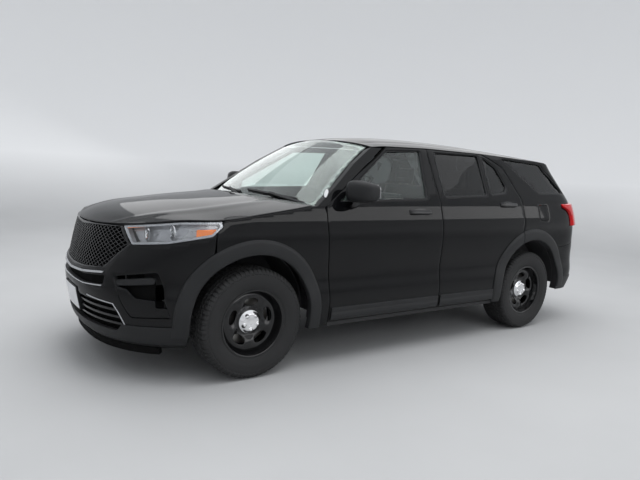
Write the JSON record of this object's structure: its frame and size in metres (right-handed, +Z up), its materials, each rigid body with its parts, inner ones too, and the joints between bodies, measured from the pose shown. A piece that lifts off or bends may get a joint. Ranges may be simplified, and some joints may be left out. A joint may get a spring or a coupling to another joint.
{
  "type": "police sport utility vehicle",
  "caption": "Five-door sport utility vehicle in black with steel wheels, dark arch flares, mesh grille, opening doors, hood and liftgate, steered front wheels and a hollow cabin.",
  "frame": {"origin": "mid-length and mid-width on the ground under the tyres", "axes": "+X forward, +Y to the vehicle's left, +Z up"},
  "size_m": [5.0502, 2.2742, 1.765],
  "materials": {
    "paint": "gloss black paint",
    "dark_plastic": "satin dark grey moulding",
    "mesh": "gloss black moulding",
    "clear_glass": "clear, faintly green",
    "privacy_glass": "dark tinted",
    "lamp_clear": "clear polished",
    "lamp_bowl": "grey moulding",
    "lamp_red": "red polished",
    "frame_paint": "black paint",
    "cast": "plain casting",
    "steel": "plain steel",
    "tank": "black moulding",
    "seat_fabric": "dark woven cloth",
    "cabin_plastic": "grained dark moulding",
    "tyre": "black rubber",
    "rim_paint": "gloss black paint",
    "chrome": "bright plated"
  },
  "bodies": {
    "body": {"underbody": "frame_paint", "body_frame": "frame_paint", "roof": "paint", "windshield": "clear_glass", "cowl": "dark_plastic", "front_fascia": "paint", "grille": "mesh", "lower_trim": "dark_plastic", "headlamp_housings": "lamp_bowl", "headlamp_lenses": "lamp_clear", "fenders": "paint", "quarter_panels": "paint", "quarter_glass": "privacy_glass", "rear_bumper": "paint", "tail_lamps": "lamp_red", "arch_flares": "dark_plastic", "wheel_liners": "dark_plastic", "engine": "cast", "drive_line": "steel", "exhaust": "steel", "fuel_tank": "tank", "front_axle": "cast", "rear_axle": "cast", "seats": "seat_fabric", "dashboard": "cabin_plastic"},
    "hood": {"hood": "paint"},
    "liftgate": {"liftgate": "paint", "liftgate_glass": "privacy_glass", "liftgate_lamps": "lamp_red"},
    "fuel_door": {"fuel_door": "paint"},
    "steering_wheel": {"steering_wheel": "cabin_plastic"},
    "knuckle_left": {"knuckle_left": "cast"},
    "knuckle_right": {"knuckle_right": "cast"},
    "front_door_left": {"front_door_left": "paint", "front_glass_left": "clear_glass", "front_trim_left": "dark_plastic"},
    "wheel_front_left": {"tyre_front_left": "tyre", "rim_front_left": "rim_paint", "cap_front_left": "chrome"},
    "front_door_right": {"front_door_right": "paint", "front_glass_right": "clear_glass", "front_trim_right": "dark_plastic"},
    "wheel_front_right": {"tyre_front_right": "tyre", "rim_front_right": "rim_paint", "cap_front_right": "chrome"},
    "rear_door_left": {"rear_door_left": "paint", "rear_glass_left": "privacy_glass", "rear_trim_left": "dark_plastic"},
    "wheel_rear_left": {"tyre_rear_left": "tyre", "rim_rear_left": "rim_paint", "cap_rear_left": "chrome"},
    "rear_door_right": {"rear_door_right": "paint", "rear_glass_right": "privacy_glass", "rear_trim_right": "dark_plastic"},
    "wheel_rear_right": {"tyre_rear_right": "tyre", "rim_rear_right": "rim_paint", "cap_rear_right": "chrome"}
  },
  "joints": [
    {"name": "steer_left", "type": "hinge", "parent": "body", "child": "knuckle_left", "pos_m": [1.5635, 0.765, 0.3815], "axis": [0, 0, 1], "range_deg": [-35, 35]},
    {"name": "front_left_spin", "type": "hinge", "parent": "knuckle_left", "child": "wheel_front_left", "pos_m": [1.5635, 0.85, 0.3815], "axis": [0, 1, 0], "continuous": true},
    {"name": "rear_left_spin", "type": "hinge", "parent": "body", "child": "wheel_rear_left", "pos_m": [-1.4615, 0.85, 0.3815], "axis": [0, 1, 0], "continuous": true},
    {"name": "front_left_door_hinge", "type": "hinge", "parent": "body", "child": "front_door_left", "pos_m": [0.99956, 1.006, 0.7], "axis": [0, 0, -1], "range_deg": [0, 65]},
    {"name": "rear_left_door_hinge", "type": "hinge", "parent": "body", "child": "rear_door_left", "pos_m": [-0.19955, 1.006, 0.7], "axis": [0, 0, -1], "range_deg": [0, 68]},
    {"name": "steer_right", "type": "hinge", "parent": "body", "child": "knuckle_right", "pos_m": [1.5635, -0.765, 0.3815], "axis": [0, 0, 1], "range_deg": [-35, 35]},
    {"name": "front_right_spin", "type": "hinge", "parent": "knuckle_right", "child": "wheel_front_right", "pos_m": [1.5635, -0.85, 0.3815], "axis": [0, 1, 0], "continuous": true},
    {"name": "rear_right_spin", "type": "hinge", "parent": "body", "child": "wheel_rear_right", "pos_m": [-1.4615, -0.85, 0.3815], "axis": [0, 1, 0], "continuous": true},
    {"name": "front_right_door_hinge", "type": "hinge", "parent": "body", "child": "front_door_right", "pos_m": [0.99956, -1.006, 0.7], "axis": [0, 0, 1], "range_deg": [0, 65]},
    {"name": "rear_right_door_hinge", "type": "hinge", "parent": "body", "child": "rear_door_right", "pos_m": [-0.19955, -1.006, 0.7], "axis": [0, 0, 1], "range_deg": [0, 68]},
    {"name": "hood_hinge", "type": "hinge", "parent": "body", "child": "hood", "pos_m": [1.10314, 0, 1.21367], "axis": [0, -1, 0], "range_deg": [0, 55]},
    {"name": "liftgate_hinge", "type": "hinge", "parent": "body", "child": "liftgate", "pos_m": [-1.99744, 0, 1.68846], "axis": [0, 1, 0], "range_deg": [0, 85]},
    {"name": "fuel_door_hinge", "type": "hinge", "parent": "body", "child": "fuel_door", "pos_m": [-1.59591, 0.97125, 1.14725], "axis": [0, 0, -1], "range_deg": [0, 95]},
    {"name": "steering_wheel_turn", "type": "hinge", "parent": "body", "child": "steering_wheel", "pos_m": [0.39887, 0.4334, 1.07665], "axis": [-0.9063, 0, 0.4226], "range_deg": [-525, 525]}
  ],
  "couplings": [
    {"joint": "steer_right", "follows": "steer_left", "ratio": 1},
    {"joint": "steering_wheel_turn", "follows": "steer_left", "ratio": 15}
  ]
}
